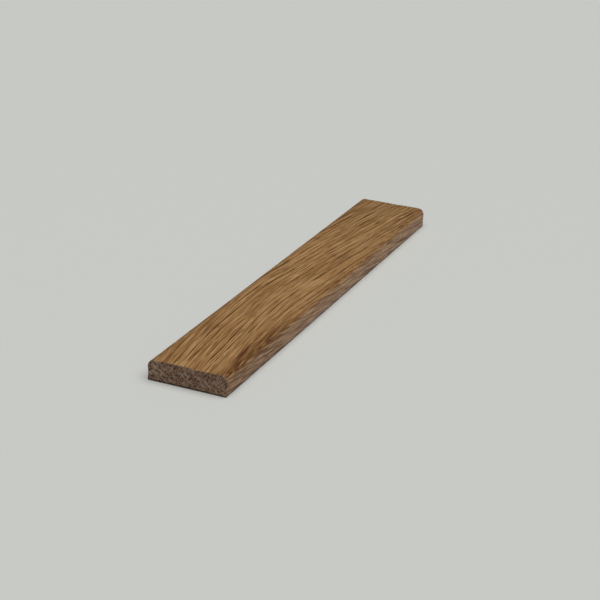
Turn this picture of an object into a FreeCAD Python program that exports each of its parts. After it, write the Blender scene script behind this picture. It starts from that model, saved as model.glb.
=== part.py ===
import FreeCAD, Part
import math
import os

# Flat threshold strip: one lath of solid oak that covers the joint between two floors
# in a doorway. Millimetres. The origin is the centre of the underside. +X runs along
# the doorway, +Y from one floor to the other, and +Z up to the tread face.

# Driving dimensions of the lath
LENGTH = 300.0              # between the two sawn ends
WIDTH = 47.0                # between the two planed long sides
THICKNESS = 12.0            # from the underside to the tread face
ROUND_OVER_RADIUS = 4.0     # along both long edges of the tread face
END_EASE = 0.3              # chamfer sanded round each sawn end, above the underside

ALONG = FreeCAD.Vector(1, 0, 0)
TOLERANCE = 1e-6


def section(x):
    """Cross-section at x: flat underside and sides, with the two top edges rounded over."""
    half_width = WIDTH / 2
    spring = THICKNESS - ROUND_OVER_RADIUS          # where each side turns into its round
    flat_edge = half_width - ROUND_OVER_RADIUS      # where the tread face starts
    on_arc = ROUND_OVER_RADIUS * math.sin(math.radians(45))

    def at(y, z):
        return FreeCAD.Vector(x, y, z)

    right_round = Part.Arc(
        at(half_width, spring),
        at(flat_edge + on_arc, spring + on_arc),
        at(flat_edge, THICKNESS))
    left_round = Part.Arc(
        at(-flat_edge, THICKNESS),
        at(-flat_edge - on_arc, spring + on_arc),
        at(-half_width, spring))
    outline = [
        Part.LineSegment(at(-half_width, 0), at(half_width, 0)),
        Part.LineSegment(at(half_width, 0), at(half_width, spring)),
        right_round,
        Part.LineSegment(at(flat_edge, THICKNESS), at(-flat_edge, THICKNESS)),
        left_round,
        Part.LineSegment(at(-half_width, spring), at(-half_width, 0)),
    ]
    return Part.Face(Part.Wire([curve.toShape() for curve in outline]))


def is_end_arris(edge):
    """True for an edge that borders a sawn end and isn't the underside's."""
    box = edge.BoundBox
    across_the_grain = box.XLength < TOLERANCE
    at_an_end = abs(abs(box.XMin) - LENGTH / 2) < TOLERANCE
    on_the_floor = box.ZMax < TOLERANCE
    return across_the_grain and at_an_end and not on_the_floor


def oak_strip():
    """The lath, with the arrises of its sawn ends eased."""
    lath = section(-LENGTH / 2).extrude(ALONG * LENGTH)
    end_arrises = [edge for edge in lath.Edges if is_end_arris(edge)]
    return lath.makeChamfer(END_EASE, end_arrises)


def main():
    os.makedirs("parts", exist_ok=True)
    strip = oak_strip()
    strip.exportStep("parts/oak_strip.step")
    box = strip.BoundBox
    print("oak_strip", strip.isValid(), len(strip.Solids), "solid",
          "%.2f x %.2f x %.2f mm" % (box.XLength, box.YLength, box.ZLength),
          "volume %.1f mm3" % strip.Volume)


main()
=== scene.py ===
"""The finish of a flat oak threshold strip, with the floor it lies on and the light over it."""

import math

import bmesh
import bpy
from bpy.props import FloatProperty, FloatVectorProperty, PointerProperty
from mathutils import Matrix, Vector


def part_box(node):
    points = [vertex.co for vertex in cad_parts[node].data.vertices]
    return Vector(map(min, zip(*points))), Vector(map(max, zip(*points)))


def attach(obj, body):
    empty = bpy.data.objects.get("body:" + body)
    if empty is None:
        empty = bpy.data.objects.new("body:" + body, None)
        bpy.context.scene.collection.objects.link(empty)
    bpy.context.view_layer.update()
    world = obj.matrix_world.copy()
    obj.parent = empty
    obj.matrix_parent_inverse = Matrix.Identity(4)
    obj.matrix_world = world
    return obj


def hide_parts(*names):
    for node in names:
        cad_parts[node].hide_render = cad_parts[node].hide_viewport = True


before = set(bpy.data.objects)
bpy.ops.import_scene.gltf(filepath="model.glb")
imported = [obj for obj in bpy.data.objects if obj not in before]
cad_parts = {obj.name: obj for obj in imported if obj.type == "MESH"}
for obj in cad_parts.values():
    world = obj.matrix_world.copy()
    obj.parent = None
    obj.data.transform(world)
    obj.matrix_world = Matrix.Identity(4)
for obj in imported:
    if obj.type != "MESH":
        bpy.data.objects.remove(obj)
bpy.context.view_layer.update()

bl_info = {
    "name": "Oak threshold strip",
    "version": (1, 0, 0),
    "blender": (4, 5, 0),
    "location": "View3D > Sidebar > Oak Strip",
    "description": "Builds a planed oak threshold strip and its studio from a packed CAD frame",
    "category": "Object",
}

MM = 0.001
NODE = "oak_strip"
BODY = "root"
STRIP_LOW, STRIP_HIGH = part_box(NODE)
LENGTH, WIDTH, THICKNESS = STRIP_HIGH - STRIP_LOW


# ---------------------------------------------------------------------------------------
# Settings a user would change
# ---------------------------------------------------------------------------------------


def linear(hex_colour):
    """A colour written as sRGB hex, such as C8A27A, as linear red, green and blue."""
    channels = [int(hex_colour[i:i + 2], 16) / 255 for i in (0, 2, 4)]
    return tuple(c / 12.92 if c <= 0.04045 else ((c + 0.055) / 1.055) ** 2.4 for c in channels)


def length_of(name, millimetres, description):
    return FloatProperty(name=name, description=description, default=millimetres * MM,
                         unit="LENGTH", precision=5)


def colour_of(name, hex_colour, description):
    return FloatVectorProperty(name=name, description=description, default=linear(hex_colour),
                               subtype="COLOR", size=3, min=0, max=1)


def share_of(name, value, description):
    return FloatProperty(name=name, description=description, default=value, min=0, max=4)


class StripSurface(bpy.types.PropertyGroup):
    """How the lath was machined and what the saw did to it"""

    round_over: length_of("Round-over", 4.0, "Radius along both long edges of the tread face")
    end_ease: length_of("End ease", 0.24, "Sanded off the arris round each sawn end")
    foot_ease: length_of("Foot ease", 0.35, "Planed off both long edges of the underside")
    pore_depth: length_of("Pore depth", 0.08, "How deep the pore lines are cut into the skin")
    ring_relief: length_of("Ring relief", 0.03, "How far springwood sands below summerwood")
    saw_relief: length_of("Saw marks", 0.05, "Depth of the saw marks across the sawn ends")
    saw_pitch: length_of("Saw pitch", 0.7, "From one saw mark to the next")
    tear_depth: length_of("Tear depth", 0.8, "How deep the saw tore the arris of an end")
    tear_reach: length_of("Tear reach", 2.4, "How far from the arris the torn wood reaches")


class OakGrain(bpy.types.PropertyGroup):
    """Where the lath lay in the log and how the tree grew"""

    ring_width: length_of("Ring width", 2.4, "Wood grown in one year")
    pith_across: length_of("Pith across", -46.0, "The pith from the middle of the lath, along Y")
    pith_up: length_of("Pith up", -38.0, "The pith above the underside, along Z")
    bow: share_of("Bow", 0.135, "Slope of the grain to the edge of the lath, far from the bow's peak")
    bow_peak: length_of("Bow peak", -52.0, "Where along X the grain runs parallel to the edge")
    bow_reach: length_of("Bow reach", 62.0, "How far from its peak the bow straightens")
    wander: length_of("Wander", 1.5, "How far the rings stray from true arcs")
    heart_length: length_of("Heart length", 90.0, "How far dark heartwood runs in from the low-X end")
    heart_width: length_of("Heart width", 10.0, "How far dark heartwood runs in from the low-Y edge")


class OakColours(bpy.types.PropertyGroup):
    """Colours of the parts of the wood"""

    summerwood: colour_of("Summerwood", "B28754", "Dense wood between the pore rows")
    springwood: colour_of("Springwood", "7B5227", "Open wood at the start of each ring")
    heart: colour_of("Heart tint", "9A6C3B", "Warmer patches along the grain")
    pale_fibre: colour_of("Pale fibre", "D0AC7C", "Fibres that catch the light")
    dark_fibre: colour_of("Dark fibre", "6A431D", "Fibres stained by age and wax")
    pore: colour_of("Pores", "4E2600", "Inside the open pores")
    # Partly the sides' own greyer skin, partly a painted reflection of the pale floor
    side_wood_and_floor_reflection: colour_of("Side wood", "A98875", "Duller, greyer skin of the long sides")
    end_wood: colour_of("Sawn end", "816553", "Wood of the sawn ends, dusty and fuzzy from the saw")
    end_pore: colour_of("Sawn pores", "281602", "Cut pores and pore rows of the sawn ends")
    end_ray: colour_of("Sawn rays", "A88E79", "Rays that cross the rings of the sawn ends")


class Studio(bpy.types.PropertyGroup):
    """The floor, the light and the camera"""

    floor: colour_of("Floor", "DBDDD9", "Painted board that the strip lies on")
    backdrop: colour_of("Backdrop", "C8CAC6", "The room behind, as pale as the lit floor")
    key: share_of("Key light", 2.25, "Strength of the broad soft light overhead")
    ambient: share_of("Ambient", 0.12, "Strength of the even light from all round")
    lens: FloatProperty(name="Lens", description="Focal length in mm on a 36 mm wide sensor",
                        default=93.33, subtype="DISTANCE_CAMERA")
    distance: length_of("Distance", 949.3, "From the camera to the plane through the strip's centre")


# ---------------------------------------------------------------------------------------
# Nodes
# ---------------------------------------------------------------------------------------

MATH = "ShaderNodeMath"
VECTOR_MATH = "ShaderNodeVectorMath"
JOIN = "ShaderNodeCombineXYZ"
SPLIT = "ShaderNodeSeparateXYZ"
RAMP = "ShaderNodeMapRange"
NOISE = "ShaderNodeTexNoise"
CELLS = "ShaderNodeTexVoronoi"
MIX = "ShaderNodeMix"
SMOOTH = {"interpolation_type": "SMOOTHSTEP"}
MEAN = 0.5                      # what a noise varies about


def add(tree, kind, *feeds, out=0, named=None, **settings):
    """Add a node, set its options, feed its inputs in order or by identifier, and return one
    of its outputs, or the node itself where out is None."""
    made = tree.nodes.new(kind)
    for option, value in settings.items():
        setattr(made, option, value)
    sockets = {socket.identifier: socket for socket in made.inputs}
    pairs = list(zip(made.inputs, feeds))
    pairs += [(sockets[key], feed) for key, feed in (named or {}).items()]
    for socket, feed in pairs:
        if isinstance(feed, bpy.types.NodeSocket):
            tree.links.new(feed, socket)
        elif feed is not None:
            socket.default_value = feed
    return made if out is None else made.outputs[out]


def drawn_out(tree, place, length, width):
    """A place in the log, counted in a pattern's lengths along the grain and in its widths
    across it, both given in mm."""
    along, across, up = place
    return add(tree, JOIN,
               add(tree, MATH, along, 1 / length, operation="MULTIPLY"),
               add(tree, MATH, across, 1 / width, operation="MULTIPLY"),
               add(tree, MATH, up, 1 / width, operation="MULTIPLY"))


# ---------------------------------------------------------------------------------------
# Oak: the growth of the wood, shared by the surface relief and the finish
# ---------------------------------------------------------------------------------------

# How the rings lie
STRAY_LENGTH = 55               # mm, waves of the rings along the tree
STRAY_WIDTH = 16                # mm, and across it
YEARS_CHANGE = 0.13             # turns between good and poor years in each mm of radius
YEARS_LEAD = 2.0                # the most rings that the count can run ahead by

# Where the parts of one year's growth begin and end, as shares of its width
SPRING_START = (0.0, 0.05)
SPRING_FADE = (0.14, 0.46)
SEAM_FADE = (0.10, 0.24)
RIM_RISE = (0.72, 0.96)

# How a pore row comes and goes
ROW_LENGTH = 30                 # mm, along the grain
ROW_YEARS = 3.7                 # enough for each ring to differ from the next
ROW_ANGLE = 9.0                 # changes in each radian round the pith
ROW_SHOWS = (0.38, 0.60)        # from where its noise starts to show it to where it is full
ROW_FLOOR = 0.25                # what is left of a row where it is weakest

NARROWEST = 0.5                 # radius of the narrowest tube, as a share of the widest's
WALL = 0.6                      # share of a tube's radius at which its soft wall begins
RAY_LENGTH = 14                 # mm, along the grain
RAY_DEPTH = 4                   # mm, outwards from the pith
RAY_ANGLE = 95.0                # changes in each radian round the pith
RAY_SHOWS = (0.53, 0.62)

# Bundles of fibres: one fibre is about 0.02 mm wide, too fine to show
FIBRE_LENGTH = 22               # mm
FIBRE_WIDTH = 0.65              # mm


def log_place(tree, place, grain):
    """Place in the log, in mm: along the bowed grain, across it and up from the pith."""
    mm = add(tree, VECTOR_MATH, place, named={"Scale": 1 / MM}, operation="SCALE")
    x, y, z = add(tree, SPLIT, mm, out=None).outputs

    # The bow is a hyperbola: level at its peak and straight far from it.
    reach = grain.bow_reach / MM
    off_peak = add(tree, MATH, x, grain.bow_peak / MM, operation="SUBTRACT")
    squared = add(tree, MATH, off_peak, off_peak, reach * reach, operation="MULTIPLY_ADD")
    drop = add(tree, MATH, squared, operation="SQRT")
    drop = add(tree, MATH, drop, grain.bow, operation="MULTIPLY")

    # Rings stray slowly along the tree and faster across it.
    slow = add(tree, VECTOR_MATH, mm, (1 / STRAY_LENGTH, 1 / STRAY_WIDTH, 1 / STRAY_WIDTH),
               operation="MULTIPLY")
    stray = add(tree, NOISE, slow, out=1, named={"Scale": 1.0, "Detail": 2.0, "Roughness": 0.45})
    stray = add(tree, VECTOR_MATH, stray, (MEAN, MEAN, MEAN), operation="SUBTRACT")
    stray = add(tree, VECTOR_MATH, stray, named={"Scale": 2 * grain.wander / MM}, operation="SCALE")
    strays = add(tree, SPLIT, stray, out=None).outputs

    across = add(tree, MATH, y, drop, operation="ADD")
    across = add(tree, MATH, across, strays[1], operation="ADD")
    across = add(tree, MATH, across, -grain.pith_across / MM - grain.bow * reach, operation="ADD")
    up = add(tree, MATH, z, strays[2], operation="ADD")
    up = add(tree, MATH, up, -grain.pith_up / MM, operation="ADD")
    return x, across, up


def vessels(tree, place, row, length, pitch, size, scarce, plenty):
    """Tubes along the grain, each a dash on a planed face and a dot on a sawn end. Length, pitch
    and size, the radius of the widest, are in mm. Scarce and plenty are the share of tubes that
    are open between the pore rows and in them. An oak's pores are 0.2 to 0.4 mm wide, too
    fine to show, so they are drawn about twice as wide."""
    cell_place = drawn_out(tree, place, length, pitch)
    cell = add(tree, CELLS, cell_place, out=None, named={"Scale": 1.0, "Randomness": 1.0}).outputs
    luck = add(tree, SPLIT, cell["Color"], out=None).outputs
    density = add(tree, RAMP, row, 0.0, 1.0, scarce, plenty)
    open_here = add(tree, MATH, luck[0], density, operation="LESS_THAN")
    radius = add(tree, RAMP, luck[1], 0.0, 1.0, NARROWEST * size / pitch, size / pitch)
    wall = add(tree, MATH, radius, WALL, operation="MULTIPLY")
    tube = add(tree, RAMP, cell["Distance"], wall, radius, 1.0, 0.0, **SMOOTH)
    return add(tree, MATH, tube, open_here, operation="MULTIPLY")


def growth(tree, where, grain):
    """The wood at a place: its springwood, pore row, seam, rim, pores, pits, clumps of pores,
    rays, fibres and the tone of its ring, each from 0 to 1, and its place in the log."""
    place = log_place(tree, where, grain)
    along, across, up = place
    squares = add(tree, MATH, across, across, operation="MULTIPLY")
    squares = add(tree, MATH, up, up, squares, operation="MULTIPLY_ADD")
    radius = add(tree, MATH, squares, operation="SQRT")
    angle = add(tree, MATH, up, across, operation="ARCTAN2")

    # Good and poor years: the count of rings runs ahead and falls behind.
    years = add(tree, NOISE, named={"W": radius, "Scale": YEARS_CHANGE, "Detail": 1.0},
                noise_dimensions="1D")
    count = add(tree, MATH, radius, MM / grain.ring_width, operation="MULTIPLY")
    count = add(tree, MATH, years, YEARS_LEAD, count, operation="MULTIPLY_ADD")
    year = add(tree, MATH, count, operation="FLOOR")
    season = add(tree, MATH, count, operation="FRACT")
    tone = add(tree, "ShaderNodeTexWhiteNoise", named={"W": year}, noise_dimensions="1D")

    # Springwood starts at once and fades into summerwood.
    start = add(tree, RAMP, season, *SPRING_START, **SMOOTH)
    fade = add(tree, RAMP, season, *SPRING_FADE, 1.0, 0.0, **SMOOTH)
    spring = add(tree, MATH, start, fade, operation="MULTIPLY")

    # A pore row comes and goes along its ring.
    ring_place = add(tree, JOIN, add(tree, MATH, along, 1 / ROW_LENGTH, operation="MULTIPLY"),
                     add(tree, MATH, year, ROW_YEARS, operation="MULTIPLY"),
                     add(tree, MATH, angle, ROW_ANGLE, operation="MULTIPLY"))
    presence = add(tree, NOISE, ring_place, named={"Scale": 1.0, "Detail": 2.0, "Roughness": 0.5})
    presence = add(tree, RAMP, presence, *ROW_SHOWS, ROW_FLOOR, 1.0)
    row = add(tree, MATH, spring, presence, operation="MULTIPLY")

    # Each ring starts with its largest pores, which run together into one thin dark line.
    seam_fade = add(tree, RAMP, season, *SEAM_FADE, 1.0, 0.0, **SMOOTH)
    seam = add(tree, MATH, start, seam_fade, operation="MULTIPLY")
    seam = add(tree, MATH, seam, presence, operation="MULTIPLY")

    # The last wood of a year is its densest, a pale line beside the next year's pores.
    rim = add(tree, RAMP, season, *RIM_RISE, 0.0, 1.0, **SMOOTH)
    rim = add(tree, MATH, rim, presence, operation="MULTIPLY")

    # Single pores, the pits of smaller ones, and pores so close that they read as one.
    pore = vessels(tree, place, row, length=34.0, pitch=0.70, size=0.38, scarce=0.10, plenty=0.95)
    pit = vessels(tree, place, row, length=12.0, pitch=0.5, size=0.26, scarce=0.40, plenty=0.50)
    clump = vessels(tree, place, row, length=60.0, pitch=0.76, size=0.58, scarce=0.52, plenty=0.90)

    # Rays are thin ribbons that run out from the pith, seen as lines on a sawn end.
    ray_place = add(tree, JOIN, add(tree, MATH, along, 1 / RAY_LENGTH, operation="MULTIPLY"),
                    add(tree, MATH, radius, 1 / RAY_DEPTH, operation="MULTIPLY"),
                    add(tree, MATH, angle, RAY_ANGLE, operation="MULTIPLY"))
    ray = add(tree, NOISE, ray_place, named={"Scale": 1.0, "Detail": 1.0, "Roughness": 0.5})
    ray = add(tree, RAMP, ray, *RAY_SHOWS, 0.0, 1.0, **SMOOTH)

    fibre_place = drawn_out(tree, place, FIBRE_LENGTH, FIBRE_WIDTH)
    fibre = add(tree, NOISE, fibre_place, named={"Scale": 1.0, "Detail": 2.0, "Roughness": 0.6})
    return {"spring": spring, "row": row, "seam": seam, "rim": rim, "tone": tone,
            "pore": pore, "pit": pit, "clump": clump, "ray": ray, "fibre": fibre,
            "place": place}


# Where the saw tore the wood
BITE_WIDTH = 4.5                # mm, about the width of one bite out of the arris
BITE_SHOWS = (0.47, 0.64)       # from where its noise starts a bite to where it is full
HIGH_X_SHARE = 0.3              # reach of the high-X end's tears beside the low-X end's
BACKED_SHARE = 0.35             # and of tears where the saw's fence backed the wood
BACKED_FROM = -5.0              # mm, along Y, where the fence starts to tell
BACKED_FULLY = 8.0              # mm, along Y, where it backs the wood fully

END_GRAIN_FACING = (0.5, 0.9)   # share of a normal along X, from long grain to end grain


def torn(tree, place, surface):
    """How deep the saw tore the wood at a place: 1 for the worst tear, 0 past its reach."""
    mm = add(tree, VECTOR_MATH, place, named={"Scale": 1 / MM}, operation="SCALE")
    spot = add(tree, SPLIT, mm, out=None).outputs
    size = add(tree, VECTOR_MATH, mm, operation="ABSOLUTE")
    sizes = add(tree, SPLIT, size, out=None).outputs
    from_end = add(tree, MATH, LENGTH / 2 / MM, sizes[0], operation="SUBTRACT")
    from_side = add(tree, MATH, WIDTH / 2 / MM, sizes[1], operation="SUBTRACT")
    from_top = add(tree, MATH, THICKNESS / MM, sizes[2], operation="SUBTRACT")
    inside = add(tree, MATH, from_side, from_top, operation="MINIMUM")
    squares = add(tree, MATH, from_end, from_end, operation="MULTIPLY")
    squares = add(tree, MATH, inside, inside, squares, operation="MULTIPLY_ADD")
    from_arris = add(tree, MATH, squares, operation="SQRT")

    # Short grain breaks out in bites a few millimetres wide.
    bites = add(tree, NOISE, mm, named={"Scale": 1 / BITE_WIDTH, "Detail": 2.0, "Roughness": 0.5})
    reach = surface.tear_reach / MM
    bite = add(tree, RAMP, bites, *BITE_SHOWS, 0.0, reach)
    rough_end = add(tree, RAMP, spot[0], -LENGTH / 2 / MM, LENGTH / 2 / MM, 1.0, HIGH_X_SHARE)
    bite = add(tree, MATH, bite, rough_end, operation="MULTIPLY")
    backed = add(tree, RAMP, spot[1], BACKED_FROM, BACKED_FULLY, 1.0, BACKED_SHARE)
    bite = add(tree, MATH, bite, backed, operation="MULTIPLY")
    tear = add(tree, MATH, bite, from_arris, operation="SUBTRACT")
    return add(tree, MATH, tear, 1 / reach, operation="MULTIPLY", use_clamp=True)


def end_grain(tree, normal_x):
    """How square on the grain is met: 1 on a sawn end and 0 on the long faces."""
    facing = add(tree, MATH, normal_x, operation="ABSOLUTE")
    return add(tree, RAMP, facing, *END_GRAIN_FACING, 0.0, 1.0)


def new_material(name):
    """A material with only a shader that is joined to its output."""
    material = bpy.data.materials.new(name)
    material.use_nodes = True
    tree = material.node_tree
    tree.nodes.clear()
    shader = tree.nodes.new("ShaderNodeBsdfPrincipled")
    add(tree, "ShaderNodeOutputMaterial", shader.outputs[0], out=None)
    return material, tree, shader


def coated(tree, base, coats):
    """A base colour with coats over it, each given by its cover, its strength and its colour."""
    for cover, strength, colour in coats:
        share = add(tree, MATH, cover, strength, operation="MULTIPLY", use_clamp=True)
        feeds = {"Factor_Float": share, "A_Color": base, "B_Color": (*colour, 1.0)}
        base = add(tree, MIX, named=feeds, out=2, data_type="RGBA")
    return base


# Where the colours of the long faces change
HEART_FADE_LENGTH = 25          # mm, over which the dark heartwood gives way along the lath
HEART_FADE_WIDTH = 8            # mm, and across it
PALE_SHOWS = (MEAN, 0.68)       # from a middling fibre to the palest
DARK_SHOWS = (MEAN, 0.30)       # and to the darkest
RING_TONES = (0.95, 1.05)       # from the darkest ring to the palest
FAR_SHADE = 0.87                # how dark the high-X end is beside the rest
FAR_SHADE_REACH = (40.0, 140.0)             # mm, along X

# The sides and the round-overs
SIDE_FACING = (0.84, 0.97)      # share of a normal along Y, from a round-over to a side
SIDE_WAVER = 0.08               # how far its edge strays
# The grey of the sides is partly their own and partly a painted reflection of the floor, strongest low
# down
GREY_AND_REFLECTION_REACH = (1.0, 9.0)         # mm up from the underside, from the greyest wood to the least
GREY_AND_REFLECTION_LEFT = 0.45                # how much of the grey is left there
HEART_GREY = 0.65               # how much of it is left in the heartwood
SCORE_SLANT = 0.12              # fall of the scores on a side, for each mm along it
SCORE_PITCH = 1.1               # mm, from one score to the next
SCORE_LENGTH = 32               # mm
DEEP_SHOWS = (0.51, 0.38)       # from untouched wood to the deepest score
WORN_SHOWS = (0.51, 0.66)       # and to the palest ridge
# The darker rounded edges: partly painted shade, partly the cutter's burnish
BURNISH_AND_SHADE_REACH = (5.5, 3.0)      # mm in from a side, from where it starts to where it is full
BURNISH_AND_SHADE_FACING = (0.86, 0.97)   # share of a normal along Y, from a round-over to a side

# The foot's painted contact shadow, the tears and the shine
CONTACT_SHADOW_REACH = (0.35, 1.2)       # mm up from the underside, from the darkest painted shadow to none
UNDER_FACING = (-0.95, -0.80)   # share of a normal along Z, from the underside to the rest
TEAR_SHOWS = 0.12               # share of the worst tear's depth that looks fully torn
TEAR_COVER = 0.85               # how much of torn wood looks like end grain
SHEEN = 0.50                    # roughness under a thin coat of wax
HOLLOW = 0.90                   # roughness in the pores
SAWN_EXTRA = 0.25               # what the saw adds to either
WAX_IOR = 1.47
THIN_WAX = 0.25                 # specular level: a full coat would have 0.5
FIBRE_RELIEF = 0.1 * MM         # how far the palest fibres stand above the darkest


def mottle(tree, wood, length, width, low, high):
    """Cloudy streaks drawn out along the grain, with their length and width in mm, that start
    where the cloud passes low and are full where it passes high."""
    streaks = drawn_out(tree, wood["place"], length, width)
    cloud = add(tree, NOISE, streaks, named={"Scale": 1.0, "Detail": 2.0, "Roughness": 0.5})
    return add(tree, RAMP, cloud, low, high, 0.0, 1.0, **SMOOTH)


def heartwood(tree, spot, grain):
    """How far a spot is into the dark heartwood, which takes one corner of the lath."""
    end = grain.heart_length / MM - LENGTH / 2 / MM
    edge = grain.heart_width / MM - WIDTH / 2 / MM
    lengthwise = add(tree, RAMP, spot[0], end - HEART_FADE_LENGTH, end, 1.0, 0.0)
    crosswise = add(tree, RAMP, spot[1], edge - HEART_FADE_WIDTH, edge, 1.0, 0.0)
    return add(tree, MATH, lengthwise, crosswise, operation="MULTIPLY")


def finish_oak(colours, grain, surface):
    """Planed, lightly sanded oak with a thin wax: golden brown with thin dark pore lines along
    the bowed rings, a low sheen on the long faces, and dusty, much greyer sawn ends."""
    material, tree, shader = new_material("oak_planed_and_waxed")
    space = add(tree, "ShaderNodeTexCoord", out=None).outputs
    mm = add(tree, VECTOR_MATH, space["Object"], named={"Scale": 1 / MM}, operation="SCALE")
    spot = add(tree, SPLIT, mm, out=None).outputs
    normals = add(tree, SPLIT, space["Normal"], out=None).outputs
    wood = growth(tree, space["Object"], grain)
    pale = add(tree, RAMP, wood["fibre"], *PALE_SHOWS, 0.0, 1.0)
    dark = add(tree, RAMP, wood["fibre"], *DARK_SHOWS, 0.0, 1.0)
    warm_patch = mottle(tree, wood, length=60, width=7, low=0.38, high=0.66)
    brown_band = mottle(tree, wood, length=80, width=2.6, low=0.45, high=0.65)
    heart = heartwood(tree, spot, grain)
    heart_streak = add(tree, MATH, heart, mottle(tree, wood, length=85, width=0.6, low=0.42, high=0.54),
                       operation="MULTIPLY")
    heart_line = add(tree, MATH, heart, dark, operation="MULTIPLY")

    planed = coated(tree, (*colours.summerwood, 1.0), (
        (warm_patch, 0.60, colours.heart),
        (brown_band, 0.50, colours.springwood),
        (wood["spring"], 0.30, colours.springwood),
        (wood["row"], 0.42, colours.springwood),
        (pale, 0.62, colours.pale_fibre),
        (wood["rim"], 0.40, colours.pale_fibre),
        (heart, 0.22, colours.dark_fibre),
        (heart_streak, 0.90, colours.dark_fibre),
        (dark, 0.75, colours.dark_fibre),
        (heart_line, 0.80, colours.pore),
        (wood["seam"], 0.92, colours.pore),
        (wood["pit"], 0.50, colours.pore),
        (wood["pore"], 0.88, colours.pore),
    ))

    # No two rings have quite the same tone, and the high-X end is a shade darker.
    ring_tone = add(tree, RAMP, wood["tone"], 0.0, 1.0, *RING_TONES)
    shade = add(tree, RAMP, spot[0], *FAR_SHADE_REACH, 1.0, FAR_SHADE)
    shade = add(tree, MATH, shade, ring_tone, operation="MULTIPLY")
    planed = add(tree, VECTOR_MATH, planed, named={"Scale": shade}, operation="SCALE")

    # The planed sides are drawn duller and greyer, partly as their own skin and partly as a painted
    # reflection of the pale floor, which is strongest low down;
    # they are least grey in the heartwood, and have slanted scores from the planer's cutters.
    uneven = mottle(tree, wood, length=22, width=2.5, low=0.35, high=0.65)
    sideways = add(tree, MATH, normals[1], operation="ABSOLUTE")
    sideways = add(tree, MATH, uneven, SIDE_WAVER, sideways, operation="MULTIPLY_ADD")
    side = add(tree, RAMP, sideways, *SIDE_FACING, 0.0, 1.0)
    floor_reflection_low_down = add(tree, RAMP, spot[2], *GREY_AND_REFLECTION_REACH, 1.0, GREY_AND_REFLECTION_LEFT)
    grey_and_floor_reflection = add(tree, MATH, floor_reflection_low_down, add(tree, RAMP, heart, 0.0, 1.0, 1.0, HEART_GREY),
                 operation="MULTIPLY")
    over = add(tree, VECTOR_MATH, mm, (SCORE_SLANT / SCORE_PITCH, 0, 1 / SCORE_PITCH), out="Value",
               operation="DOT_PRODUCT")
    score_place = add(tree, JOIN, add(tree, MATH, spot[0], 1 / SCORE_LENGTH, operation="MULTIPLY"),
                      over)
    scores = add(tree, NOISE, score_place, named={"Scale": 1.0, "Detail": 3.0, "Roughness": 0.65})
    deep = add(tree, RAMP, scores, *DEEP_SHOWS, 0.0, 1.0)
    worn = add(tree, RAMP, scores, *WORN_SHOWS, 0.0, 1.0)

    # Partly painted shade where the rounded edges turn from the light, partly the burnish of the
    # round-over cutter: both draw the rounded edges a little darker.
    from_middle = add(tree, MATH, spot[1], operation="ABSOLUTE")
    reach = [WIDTH / 2 / MM - inset for inset in BURNISH_AND_SHADE_REACH]
    burnish_and_edge_shade = add(tree, MATH, add(tree, RAMP, from_middle, *reach, 0.0, 1.0),
                  add(tree, RAMP, sideways, *BURNISH_AND_SHADE_FACING, 1.0, 0.0), operation="MULTIPLY")
    planed = coated(tree, planed, (
        (burnish_and_edge_shade, 0.30, colours.dark_fibre),
        (add(tree, MATH, side, grey_and_floor_reflection, operation="MULTIPLY"), 0.72, colours.side_wood_and_floor_reflection),
        (add(tree, MATH, side, deep, operation="MULTIPLY"), 0.95, colours.dark_fibre),
        (add(tree, MATH, side, worn, operation="MULTIPLY"), 0.65, colours.pale_fibre),
    ))

    # The rays come last, since they cross the pore rows and show on a sawn end as a weave.
    sawn = coated(tree, (*colours.end_wood, 1.0), (
        (wood["spring"], 0.06, colours.end_pore),
        (pale, 0.40, colours.end_ray),
        (dark, 0.35, colours.end_pore),
        (wood["rim"], 0.35, colours.end_ray),
        (wood["pit"], 0.50, colours.end_pore),
        (wood["pore"], 0.95, colours.end_pore),
        (wood["clump"], 1.0, colours.end_pore),
        (wood["seam"], 0.60, colours.end_pore),
        (wood["ray"], 0.74, colours.end_ray),
    ))

    # End grain shows on the sawn ends, and where the saw tore the arris.
    tear = torn(tree, space["Object"], surface)
    tear = add(tree, RAMP, tear, 0.0, TEAR_SHOWS, 0.0, TEAR_COVER)
    end = add(tree, MATH, end_grain(tree, normals[0]), tear, operation="MAXIMUM")
    feeds = {"Factor_Float": end, "A_Color": planed, "B_Color": sawn}
    colour = add(tree, MIX, named=feeds, out=2, data_type="RGBA")

    # Painted contact shadow: the foot of the lath is drawn darker, as in the shade where it meets the
    # floor, but not its underside.
    foot = add(tree, MATH, add(tree, RAMP, spot[2], *CONTACT_SHADOW_REACH, 1.0, 0.0),
               add(tree, RAMP, normals[2], *UNDER_FACING, 0.0, 1.0), operation="MULTIPLY")
    colour = coated(tree, colour, ((tear, 0.40, colours.end_pore), (foot, 0.75, colours.end_pore)))
    tree.links.new(colour, shader.inputs["Base Color"])

    # The wax leaves a low sheen on the long faces, and the pores and sawn ends are matt.
    hollow = add(tree, MATH, wood["pore"], wood["pit"], operation="MAXIMUM")
    rough = add(tree, RAMP, hollow, 0.0, 1.0, SHEEN, HOLLOW)
    rough = add(tree, MATH, end, SAWN_EXTRA, rough, operation="MULTIPLY_ADD")
    tree.links.new(rough, shader.inputs["Roughness"])
    shader.inputs["IOR"].default_value = WAX_IOR
    shader.inputs["Specular IOR Level"].default_value = THIN_WAX

    # The skin's mesh has the pore lines, and this adds the fibres and pits between them.
    height = add(tree, MATH, wood["pit"], -0.5, wood["fibre"], operation="MULTIPLY_ADD")
    height = add(tree, MATH, wood["pore"], -0.8, height, operation="MULTIPLY_ADD")
    bump = add(tree, "ShaderNodeBump", named={"Strength": 0.8, "Distance": FIBRE_RELIEF,
                                              "Height": height})
    tree.links.new(bump, shader.inputs["Normal"])
    return material


# ---------------------------------------------------------------------------------------
# The strip
# ---------------------------------------------------------------------------------------

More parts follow.
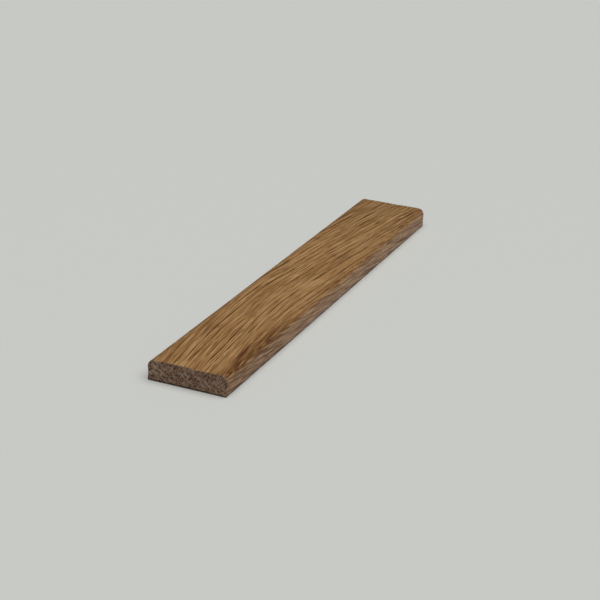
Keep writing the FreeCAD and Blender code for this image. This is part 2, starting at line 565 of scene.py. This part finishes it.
ROUND_STEPS = 14            # faces round each long edge
TREAD_STEPS = 150           # across the flat of the tread face
SIDE_STEPS = 22             # up the flat of each side
SPAN_STEPS = 184            # along the middle stretch
END_STRETCH = 4.0 * MM      # next to each sawn end, where the rows are finer
END_STEPS = 10              # along each of those stretches
MOST_CUTS = 100             # what one subdivision can do
NEAR = 1e-6                 # m, closer than this is the same place
END_FACING = 0.9            # share of a face's normal along X, past which it is an end
SMOOTH_ANGLE = math.radians(35)             # sharper edges than this stay sharp


def choose(strip, kind, test):
    """Select the vertices, edges or faces of the strip that pass a test, and nothing else."""
    modes = {"verts": "VERT", "edges": "EDGE", "faces": "FACE"}
    bpy.ops.mesh.select_mode(type=modes[kind])
    bpy.ops.mesh.select_all(action="DESELECT")
    shape = bmesh.from_edit_mesh(strip.data)
    chosen = [part for part in getattr(shape, kind) if test(part)]
    for part in chosen:
        part.select_set(True)
    shape.select_flush_mode()
    bmesh.update_edit_mesh(strip.data)
    if not chosen:
        raise RuntimeError("nothing to select for this step of the strip")


def runs(edge, axis):
    """True for an edge that runs along an axis."""
    a, b = (vertex.co for vertex in edge.verts)
    return all(abs(a[i] - b[i]) < NEAR for i in range(3) if i != axis)


def at(edge, axis, place):
    """True for an edge that lies at a place on an axis."""
    return all(abs(vertex.co[axis] - place) < NEAR for vertex in edge.verts)


def cut_up(strip, steps, test):
    """Cut the edges that pass a test into even steps, in two goes where there are many."""
    goes = (2, steps // 2) if steps > MOST_CUTS else (steps,)
    for go in goes:
        choose(strip, "edges", test)
        bpy.ops.mesh.subdivide(number_cuts=go - 1)


def round_edges(strip, surface):
    """Round over the two long edges of the tread face, and ease the two of the underside."""
    choose(strip, "edges", lambda edge: runs(edge, 0) and at(edge, 2, STRIP_HIGH.z))
    bpy.ops.mesh.bevel(offset=surface.round_over, segments=ROUND_STEPS, affect="EDGES")
    choose(strip, "edges", lambda edge: runs(edge, 0) and at(edge, 2, STRIP_LOW.z))
    bpy.ops.mesh.bevel(offset=surface.foot_ease, segments=1, affect="EDGES")


def cut_rows(strip, surface, reach):
    """Take both ends off, and cut the skin between them into even rows."""
    choose(strip, "faces", lambda face: abs(face.normal.x) > END_FACING)
    bpy.ops.mesh.delete(type="ONLY_FACE")
    for end in (STRIP_LOW.x + END_STRETCH, STRIP_HIGH.x - END_STRETCH):
        bpy.ops.mesh.select_all(action="SELECT")
        bpy.ops.mesh.bisect(plane_co=(end, 0, 0), plane_no=(1, 0, 0))

    def at_rim(edge):
        return any(abs(abs(vertex.co.x) - reach) < NEAR for vertex in edge.verts)

    cut_up(strip, SPAN_STEPS, lambda edge: runs(edge, 0) and edge.calc_length() > 2 * END_STRETCH)
    cut_up(strip, END_STEPS, lambda edge: runs(edge, 0) and at_rim(edge))
    for axis, place, steps in ((1, STRIP_HIGH.z, TREAD_STEPS),
                               (1, STRIP_LOW.z, TREAD_STEPS + ROUND_STEPS),
                               (2, None, SIDE_STEPS)):
        cut_up(strip, steps, lambda edge: runs(edge, axis)
               and edge.calc_length() > surface.round_over
               and (place is None or at(edge, 2, place)))


def close_end(strip, surface, end, rim):
    """Close an end with an eased arris, then a grid that starts at its lower corner."""
    lean = surface.end_ease * math.sin(math.radians(45))
    choose(strip, "edges", lambda edge: at(edge, 0, rim))
    bpy.ops.mesh.edge_face_add()
    bpy.ops.mesh.inset(thickness=surface.end_ease - lean, depth=lean)
    bpy.ops.mesh.inset(thickness=lean, depth=surface.end_ease - lean)
    bpy.ops.mesh.delete(type="ONLY_FACE")
    choose(strip, "edges", lambda edge: at(edge, 0, end))
    shape = bmesh.from_edit_mesh(strip.data)
    foot = Vector((end, STRIP_LOW.y + surface.foot_ease, STRIP_LOW.z))
    corner = min((vertex for vertex in shape.verts if vertex.select),
                 key=lambda vertex: (vertex.co - foot).length)
    shape.select_history.clear()
    shape.select_history.add(corner)
    bmesh.update_edit_mesh(strip.data)
    bpy.ops.mesh.fill_grid(span=TREAD_STEPS + ROUND_STEPS, offset=0)


def lath(surface):
    """A cube pulled to the lath's size, rounded over, cut into rows fine enough for its pores,
    and closed at both ends."""
    reach = LENGTH / 2 - surface.end_ease
    bpy.ops.object.select_all(action="DESELECT")
    bpy.ops.mesh.primitive_cube_add(size=1, location=(STRIP_LOW + STRIP_HIGH) / 2)
    strip = bpy.context.object
    strip.name = strip.data.name = "oak_lath"
    strip.scale = (LENGTH - 2 * surface.end_ease, WIDTH, THICKNESS)
    bpy.ops.object.transform_apply(location=True, rotation=True, scale=True)
    bpy.ops.object.mode_set(mode="EDIT")
    round_edges(strip, surface)
    cut_rows(strip, surface, reach)
    close_end(strip, surface, STRIP_LOW.x, -reach)
    close_end(strip, surface, STRIP_HIGH.x, reach)
    bpy.ops.object.mode_set(mode="OBJECT")
    return strip


SKIN_SHARE = (0.325, 0.997)     # rows of the bake's image for the tread face and both sides
UNDER_SHARE = (0.165, 0.315)    # for the underside
ENDS_SHARE = (0.003, 0.155)     # for both sawn ends, side by side
EDGE_SHARE = 0.003              # left free along the image's edges
TURNED = 0.5                    # share of a normal along an axis, past which it faces that way


def unrolled(place, surface):
    """How far a place on the skin is, round the section, from the foot of the high-Y side."""
    radius = surface.round_over
    half, spring = WIDTH / 2, THICKNESS - radius
    quarter = radius * math.pi / 2
    beyond, above = abs(place.y) - (half - radius), place.z - spring
    if above <= 0:
        way = place.z
    elif beyond <= 0:
        way = spring + quarter - beyond
    else:
        way = spring + radius * math.atan2(above, beyond)
    whole = 2 * (spring + quarter + half - radius)
    return way / whole if place.y >= 0 else 1 - way / whole


def lay_out(strip, surface):
    """A flat layout of the skin, the underside and the two ends, in one image's rows for baking their
    look.
    """
    layout = strip.data.uv_layers.new(name="OFBake")
    shape = bmesh.new()
    shape.from_mesh(strip.data)
    flat = shape.loops.layers.uv[layout.name]
    for face in shape.faces:
        on_end = abs(face.normal.x) > TURNED
        for loop in face.loops:
            place = loop.vert.co
            u = (place.x - STRIP_LOW.x) / LENGTH
            share = SKIN_SHARE
            if on_end:
                share = ENDS_SHARE
                u = 0.5 * (place.y - STRIP_LOW.y) / WIDTH * (1 - 2 * EDGE_SHARE)
                u += EDGE_SHARE / 2 if face.normal.x < 0 else 0.5 + EDGE_SHARE / 2
                v = (place.z - STRIP_LOW.z) / THICKNESS
            elif face.normal.z < -TURNED:
                share = UNDER_SHARE
                v = (place.y - STRIP_LOW.y) / WIDTH
            else:
                v = unrolled(place, surface)
            u = EDGE_SHARE + (1 - 2 * EDGE_SHARE) * u
            loop[flat].uv = (u, share[0] + (share[1] - share[0]) * v)
    shape.to_mesh(strip.data)
    shape.free()


SAW_ARBOR = Vector((0, 70.0 * MM, -150.0 * MM))     # the middle of the arcs across an end
GEOMETRY = "NodeSocketGeometry"


def carve(strip, surface, grain):
    """Cut pore lines, sanded-down springwood, saw marks and torn arrises into the skin. All of
    it goes inward, so the lath keeps its size."""
    tree = bpy.data.node_groups.new("oak_relief", "GeometryNodeTree")
    tree.interface.new_socket("Lath", in_out="INPUT", socket_type=GEOMETRY)
    tree.interface.new_socket("Carved lath", in_out="OUTPUT", socket_type=GEOMETRY)
    place = add(tree, "GeometryNodeInputPosition")
    normal = add(tree, "GeometryNodeInputNormal")
    wood = growth(tree, place, grain)

    line = add(tree, MATH, wood["seam"], wood["pore"], operation="MAXIMUM")
    depth = add(tree, MATH, line, surface.pore_depth, operation="MULTIPLY")
    depth = add(tree, MATH, wood["spring"], surface.ring_relief, depth, operation="MULTIPLY_ADD")

    # The saw's teeth left arcs about its arbor, and its dust half fills the pores.
    spot = add(tree, SPLIT, place, out=None).outputs
    off_arbor = add(tree, JOIN, 0.0, spot[1], spot[2])
    off_arbor = add(tree, VECTOR_MATH, off_arbor, SAW_ARBOR, operation="SUBTRACT")
    swing = add(tree, VECTOR_MATH, off_arbor, out="Value", operation="LENGTH")
    marks = add(tree, MATH, swing, math.pi / surface.saw_pitch, operation="MULTIPLY")
    marks = add(tree, MATH, add(tree, MATH, marks, operation="SINE"), operation="ABSOLUTE")
    sawn = add(tree, MATH, marks, surface.saw_relief, operation="MULTIPLY")
    sawn = add(tree, MATH, wood["pore"], surface.pore_depth / 2, sawn, operation="MULTIPLY_ADD")

    end = end_grain(tree, add(tree, SPLIT, normal))
    depth = add(tree, MIX, named={"Factor_Float": end, "A_Float": depth, "B_Float": sawn},
                data_type="FLOAT")
    tear = torn(tree, place, surface)
    depth = add(tree, MATH, tear, surface.tear_depth, depth, operation="MULTIPLY_ADD")
    inward = add(tree, MATH, depth, -1.0, operation="MULTIPLY")
    shift = add(tree, VECTOR_MATH, normal, named={"Scale": inward}, operation="SCALE")
    carved = add(tree, "GeometryNodeSetPosition", add(tree, "NodeGroupInput"),
                 named={"Offset": shift})
    add(tree, "NodeGroupOutput", carved, out=None)
    relief = strip.modifiers.new("oak_relief", "NODES")
    relief.node_group = tree
    bpy.ops.object.modifier_apply(modifier=relief.name)


class OAKSTRIP_OT_lath(bpy.types.Operator):
    """Model the oak lath, cut its pores and saw marks into it, and finish it"""

    bl_idname = "oakstrip.lath"
    bl_label = "Oak lath"

    def execute(self, context):
        scene = context.scene
        surface, grain = scene.strip_surface, scene.oak_grain
        strip = lath(surface)
        lay_out(strip, surface)
        carve(strip, surface, grain)
        bpy.ops.object.shade_smooth_by_angle(angle=SMOOTH_ANGLE)
        strip.data.materials.append(finish_oak(scene.oak_colours, grain, surface))
        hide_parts(NODE)
        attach(strip, BODY)
        return {"FINISHED"}


# ---------------------------------------------------------------------------------------
# The studio
# ---------------------------------------------------------------------------------------

FLOOR_REACH = 6.0           # m, from the strip to each edge of the board
FLOOR_GAP = 0.25 * MM       # planed timber never lies quite flat
VIEW_TURN = 23.42           # degrees from the strip's length to the line of sight
VIEW_DROP = 22.76           # degrees that the line of sight falls
VIEW_ROLL = 2.02            # degrees that the camera leans
SIGHT_SHIFT = Vector((-1.47 * MM, -4.37 * MM, 0))   # from the origin to the line of sight
SENSOR_WIDTH = 36           # mm
NEAREST_SEEN = 0.01         # m
LIGHT_FROM = Vector((-0.12, -0.22, 1.0))            # towards the middle of the light
LIGHT_SPREAD = 76           # degrees across
PAINT_ROUGHNESS = 0.9
PAINT_SPECULAR = 0.2        # less than a smooth film's 0.5, as matt paint is


def floor_board(colour):
    """A matt painted board, pale all over, that the strip lies on."""
    bpy.ops.mesh.primitive_plane_add(size=2 * FLOOR_REACH,
                                     location=(0, 0, STRIP_LOW.z - FLOOR_GAP))
    board = bpy.context.object
    board.name = "floor"
    material, _, shader = new_material("matt_painted_board")
    shader.inputs["Base Color"].default_value = (*colour, 1.0)
    shader.inputs["Roughness"].default_value = PAINT_ROUGHNESS
    shader.inputs["Specular IOR Level"].default_value = PAINT_SPECULAR
    board.data.materials.append(material)


def overhead_light(strength):
    """A ceiling of diffusers, so broad and far off that it lights the whole floor evenly."""
    bpy.ops.object.light_add(type="SUN", location=LIGHT_FROM)
    made = bpy.context.object
    made.name = "overhead_light"
    made.data.angle = math.radians(LIGHT_SPREAD)
    made.data.energy = strength
    made.rotation_euler = (-LIGHT_FROM).to_track_quat("-Z", "Y").to_euler()


def surroundings(studio):
    """A dim even room that looks as pale as the lit floor where the camera sees it."""
    world = bpy.data.worlds.new("room")
    world.use_nodes = True
    tree = world.node_tree
    background = tree.nodes["Background"]
    seen = add(tree, "ShaderNodeLightPath", out="Is Camera Ray")
    shown = add(tree, MIX, named={"Factor_Float": seen,
                                  "A_Color": (studio.ambient,) * 3 + (1.0,),
                                  "B_Color": (*studio.backdrop, 1.0)},
                out=2, data_type="RGBA")
    tree.links.new(shown, background.inputs["Color"])
    bpy.context.scene.world = world


def camera(studio):
    """A camera that looks down along the strip from behind its low-X end."""
    turn, drop = math.radians(VIEW_TURN), math.radians(VIEW_DROP)
    sight = Vector((math.cos(turn) * math.cos(drop), math.sin(turn) * math.cos(drop),
                    -math.sin(drop)))
    facing = sight.to_track_quat("-Z", "Y").to_matrix().to_4x4()
    facing = facing @ Matrix.Rotation(math.radians(VIEW_ROLL), 4, "Z")
    place = facing @ (SIGHT_SHIFT + Vector((0, 0, studio.distance)))
    bpy.ops.object.camera_add()
    made = bpy.context.object
    made.name = "camera"
    made.matrix_world = Matrix.Translation(place) @ facing
    made.data.lens = studio.lens
    made.data.sensor_width = SENSOR_WIDTH
    made.data.clip_start = NEAREST_SEEN
    bpy.context.scene.camera = made


class OAKSTRIP_OT_studio(bpy.types.Operator):
    """Lay the floor, hang the light and set up the camera"""

    bl_idname = "oakstrip.studio"
    bl_label = "Studio"

    def execute(self, context):
        studio = context.scene.oak_studio
        bpy.ops.object.select_all(action="DESELECT")
        floor_board(studio.floor)
        overhead_light(studio.key)
        surroundings(studio)
        context.scene.view_settings.view_transform = "Standard"
        camera(studio)
        return {"FINISHED"}


class OAKSTRIP_PT_panel(bpy.types.Panel):
    """The strip's sizes, grain, colours and studio"""

    bl_idname = "OAKSTRIP_PT_panel"
    bl_label = "Oak threshold strip"
    bl_space_type = "VIEW_3D"
    bl_region_type = "UI"
    bl_category = "Oak Strip"

    def draw(self, context):
        layout = self.layout
        for group in SETTINGS:
            box = layout.box()
            box.label(text=group.__doc__)
            for name in group.__annotations__:
                box.prop(getattr(context.scene, SETTINGS[group]), name)
        layout.operator(OAKSTRIP_OT_lath.bl_idname)
        layout.operator(OAKSTRIP_OT_studio.bl_idname)


SETTINGS = {
    StripSurface: "strip_surface",
    OakGrain: "oak_grain",
    OakColours: "oak_colours",
    Studio: "oak_studio",
}
CLASSES = (*SETTINGS, OAKSTRIP_OT_lath, OAKSTRIP_OT_studio, OAKSTRIP_PT_panel)


def register():
    for made in CLASSES:
        bpy.utils.register_class(made)
    for group, name in SETTINGS.items():
        setattr(bpy.types.Scene, name, PointerProperty(type=group))


def unregister():
    for name in SETTINGS.values():
        delattr(bpy.types.Scene, name)
    for made in reversed(CLASSES):
        bpy.utils.unregister_class(made)


def main():
    register()
    bpy.ops.oakstrip.studio()
    bpy.ops.oakstrip.lath()


if __name__ == "__main__":
    main()
